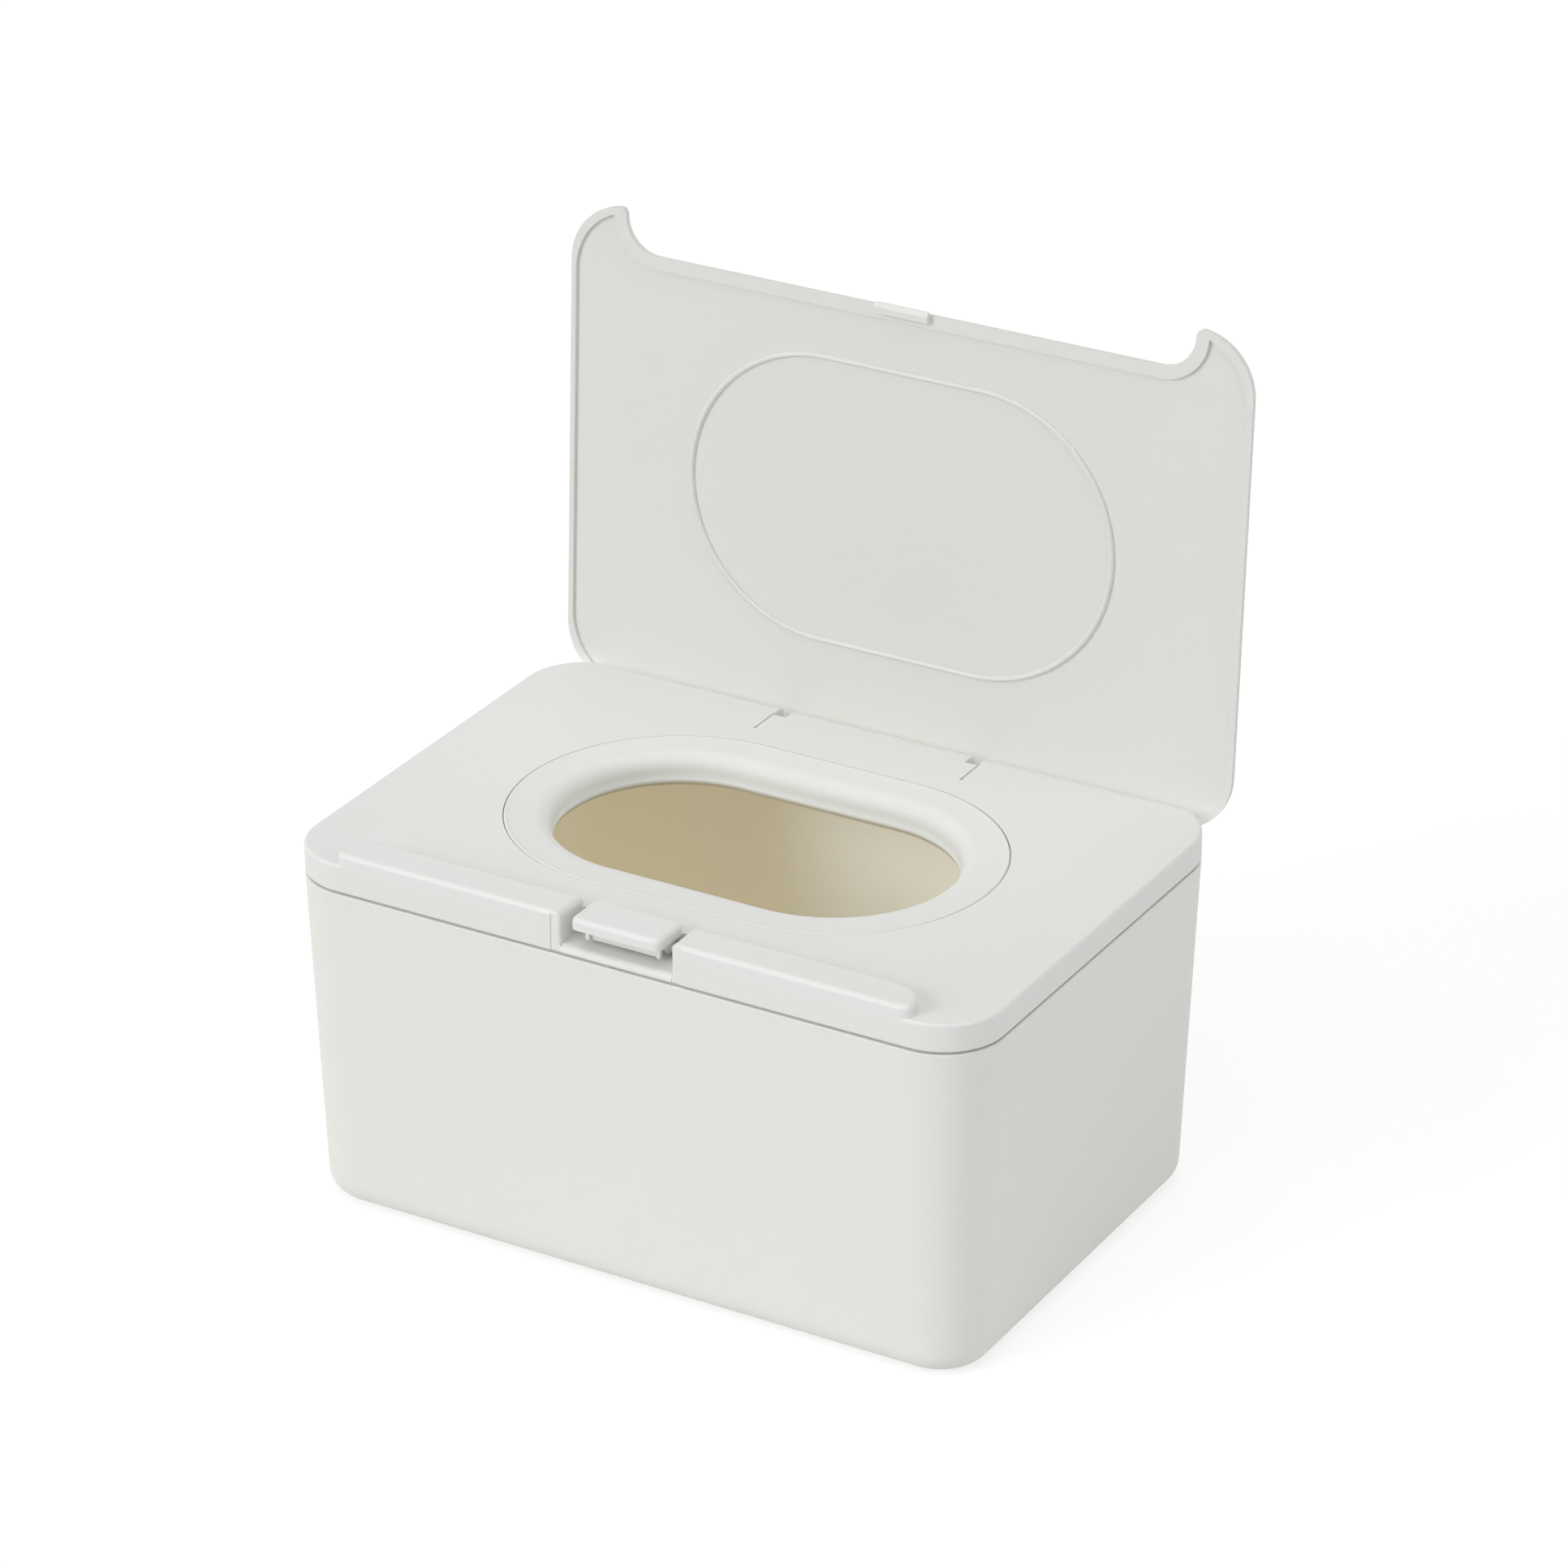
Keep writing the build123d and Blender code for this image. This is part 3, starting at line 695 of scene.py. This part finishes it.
def arc(centre, radius, start_degrees, end_degrees, steps):
    """Points on an arc in the section's plane of radius and height."""
    points = []
    for step in range(steps + 1):
        angle = math.radians(start_degrees + (end_degrees - start_degrees) * step / steps)
        points.append((centre[0] + radius * math.cos(angle), centre[1] + radius * math.sin(angle)))
    return points


def soft_roll(outer, top, reach, steps):
    """The roll from the flat flange down to the upright wall, as a quarter superellipse."""
    points = []
    for step in range(steps + 1):
        angle = math.pi / 2 * step / steps
        across = math.sin(angle) ** (2 / roll_power)
        down = 1 - math.cos(angle) ** (2 / roll_power)
        points.append((outer - reach * across, top - reach * down))
    return points


print("roll's power is", roll_power, "where a plain arc has 2")

# %% Ring section
roll_steps = 16
edge_steps = 5


def ring_section():
    """The closed section of the ring, from the flange's outer edge over the roll and back below."""
    seat = cover_level - flange_thickness
    roll_start = mouth_radius + roll_radius
    bottom = cover_level - lip_depth
    edge_middle = ring_edge_radius - edge_round
    edge_top = cover_level + edge_rise
    section = arc((ring_edge_radius - edge_foot, seat + edge_foot), edge_foot, -90, 0, edge_steps)
    section += arc((edge_middle, edge_top - edge_round), edge_round, 0, 90, edge_steps)
    for step in range(1, edge_steps + 1):
        share = step / edge_steps
        sink = edge_rise * (1 - math.cos(math.pi * share)) / 2
        section.append((edge_middle - edge_rise_reach * share, edge_top - sink))
    section += soft_roll(roll_start, cover_level, roll_radius, roll_steps)
    bead_middle = (mouth_radius + lip_bead_radius - lip_bead_reach, bottom + lip_bead_radius)
    bead_start = 180 - math.degrees(math.acos(1 - lip_bead_reach / lip_bead_radius))
    section += arc(bead_middle, lip_bead_radius, bead_start, apron_start, 2 * edge_steps)
    inner, outer = section[-1][0], section[-1][0] + apron_wall
    apron_foot = bottom - apron_depth
    section += [(inner, apron_foot + apron_round), (inner + apron_round, apron_foot)]
    section += [(outer - apron_round, apron_foot), (outer, apron_foot + apron_round)]
    section += arc(bead_middle, lip_bead_radius, apron_end, 360, edge_steps)
    channel = cover_level - ring_wall
    section += reversed(soft_roll(roll_start, channel, roll_radius - ring_wall, roll_steps))
    section += [(neck_radius - ring_wall, channel), (neck_radius - ring_wall, bottom + ring_wall)]
    section += [(neck_radius, bottom + ring_wall), (neck_radius, seat)]
    return section


section = ring_section()
print("ring section has", len(section), "points")

# %% [markdown]
# ## Round the mouth
# The section is carried round the oval in small steps. A curve with a bevel shape could do that too,
# but it would still have to become a mesh for the export. Here the rows of points are joined with
# faces at once, so the mesh is closed and even, and shaded smooth it shows no facets.

# %% Stations round the oval
oval_steps = 64
straight_steps = 16


def oval_stations():
    """Base points and outward directions round the mouth's oval."""
    stations = []
    for end in (1, -1):
        centre = Vector((end * mouth_half_straight, mouth_middle_y, 0))
        for step in range(oval_steps):
            angle = math.pi * step / oval_steps - end * math.pi / 2
            stations.append((centre, Vector((math.cos(angle), math.sin(angle), 0))))
        for step in range(straight_steps):
            x = end * mouth_half_straight * (1 - 2 * step / straight_steps)
            stations.append((Vector((x, mouth_middle_y, 0)), Vector((0, end, 0))))
    return stations


stations = oval_stations()
print("oval has", len(stations), "stations")

# %% Ring mesh
def make_ring():
    """Carries the section round the oval and joins the rows of points with faces."""
    vertices = []
    for base, outward in stations:
        for radius, height in section:
            vertices.append(base + outward * radius + Vector((0, 0, height)))
    count = len(section)
    faces = []
    for row in range(len(stations)):
        after = (row + 1) % len(stations)
        for place in range(count):
            beside = (place + 1) % count
            here, there = row * count, after * count
            faces.append((here + place, there + place, there + beside, here + beside))
    mesh = bpy.data.meshes.new("soft_mouth_ring")
    mesh.from_pydata(vertices, [], faces)
    mesh.validate()
    mesh.shade_smooth()
    ring = bpy.data.objects.new("soft_mouth_ring", mesh)
    bpy.context.scene.collection.objects.link(ring)
    return ring


soft_mouth_ring = make_ring()
print("ring has", len(soft_mouth_ring.data.polygons), "faces")

# %% [markdown]
# ## The ring's soft finish
# The ring is a soft elastomer in the same white. It takes hardly any gloss, and its grain is finer
# and shallower than that of the shell. Light that scatters below its surface could be added, but on
# such a pale ring it hardly shows. Its roll looks a little cooler than its flange in the picture,
# which makes up for the creamy light that comes up from inside the box, and the apron under the lip
# gets a dark painted shade. So its tone follows its height.

# %% Ring material
ring_tones = (0.80, 0.80, 0.785), (0.79, 0.79, 0.77)
ring_drift = 30 * mm
ring_roughness = (0.55, 0.7)
ring_grain = {"Grain_Size": 0.5 * mm, "Ripple_Size": 12 * mm, "Ripple_Share": 3.0}
ring_grain_depth = 0.008 * mm
ring_ior = 1.42
funnel_tone = (0.765, 0.777, 0.772)
funnel_start, funnel_end = cover_level - 0.4 * mm, cover_level - 3.4 * mm
# Painted shade: a dark warm tone on the apron under the lip.
apron_painted_shade = (0.56, 0.52, 0.41)
apron_top = cover_level - lip_depth
apron_fade = 0.1 * mm


def make_soft_white():
    """Soft white elastomer, matt and fine."""
    material, shader, place = new_material("soft_white")
    tree = material.node_tree
    height = fine_grain(tree, place, shader, ring_roughness, **ring_grain)
    tone = drifting_tone(tree, place, ring_tones, ring_drift)
    funnel = step_mask(tree, place, "Z", funnel_start, funnel_end)
    apron = step_mask(tree, place, "Z", apron_top + apron_fade, apron_top)
    roll = blend(tree, funnel, tone, funnel_tone)
    tree.links.new(blend(tree, apron, roll, apron_painted_shade), shader.inputs["Base Color"])
    add_bump(tree, shader, height, ring_grain_depth)
    shader.inputs["IOR"].default_value = ring_ior
    return material


soft_white = make_soft_white()
soft_mouth_ring.data.materials.append(soft_white)
print("made", soft_white.name)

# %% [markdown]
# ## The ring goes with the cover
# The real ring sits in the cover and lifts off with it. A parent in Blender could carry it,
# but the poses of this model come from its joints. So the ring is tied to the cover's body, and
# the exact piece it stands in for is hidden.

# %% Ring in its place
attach(soft_mouth_ring, "cover")
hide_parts("mouth_ring")
print("ring rides on the cover")

# %% [markdown]
# ## The coil spring
# A small spring of drawn wire stands between a peg on the cover and a peg under the tab, and lifts
# the tab again after each press. It could be a curve with a bevel, which is quick to change. Its
# foot stays on the cover while its head follows the tab. Here it is a mesh: a small circle carried
# along a helix whose end turns lie nearly flat, as in a real one.

# %% Height along the coil
coil_foot, coil_head = 92.0 * mm, 96.7 * mm
coil_turns, closed_turns = 4.5, 0.75
closed_share = 0.075


def coil_height(turn):
    """Height of the wire's middle after so many turns. The end turns rise only a little."""
    if turn < closed_turns:
        share = closed_share * turn / closed_turns
    elif turn > coil_turns - closed_turns:
        share = 1 - closed_share * (coil_turns - turn) / closed_turns
    else:
        open_turns = coil_turns - 2 * closed_turns
        share = closed_share + (1 - 2 * closed_share) * (turn - closed_turns) / open_turns
    return coil_foot + (coil_head - coil_foot) * share


print("coil is", round((coil_head - coil_foot) / mm, 2), "mm tall, with", coil_turns, "turns")

# %% Coil spring
coil_middle = Vector((0.0, -57.3 * mm, 0.0))
coil_radius = 1.6 * mm
wire_radius = 0.2 * mm
steps_per_turn = 24
wire_sides = 8


def make_coil():
    """Carries a small circle along the helix and closes both ends of the wire."""
    up = Vector((0, 0, 1))
    rings = round(coil_turns * steps_per_turn) + 1
    vertices = []
    for ring in range(rings):
        turn = ring / steps_per_turn
        outward = Vector((math.cos(2 * math.pi * turn), math.sin(2 * math.pi * turn), 0))
        middle = coil_middle + outward * coil_radius + up * coil_height(turn)
        for side in range(wire_sides):
            angle = 2 * math.pi * side / wire_sides
            vertices.append(middle + (outward * math.cos(angle) + up * math.sin(angle)) * wire_radius)
    last = (rings - 1) * wire_sides
    foot_cap, head_cap = tuple(range(wire_sides)), tuple(reversed(range(last, last + wire_sides)))
    faces = [foot_cap, head_cap]
    for ring in range(rings - 1):
        for side in range(wire_sides):
            here, after = ring * wire_sides, (ring + 1) * wire_sides
            beside = (side + 1) % wire_sides
            faces.append((here + side, after + side, after + beside, here + beside))
    mesh = bpy.data.meshes.new("coil_spring")
    mesh.from_pydata(vertices, [], faces)
    mesh.validate()
    mesh.shade_smooth()
    coil = bpy.data.objects.new("coil_spring", mesh)
    bpy.context.scene.collection.objects.link(coil)
    return coil


coil_spring = make_coil()
coil_spring.data.materials.append(spring_steel)
print("spring has", len(coil_spring.data.polygons), "faces")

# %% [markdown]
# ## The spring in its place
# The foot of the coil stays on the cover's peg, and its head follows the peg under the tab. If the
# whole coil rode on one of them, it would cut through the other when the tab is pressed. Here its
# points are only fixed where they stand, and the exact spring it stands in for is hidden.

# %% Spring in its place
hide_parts("tab_spring")
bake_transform(coil_spring)
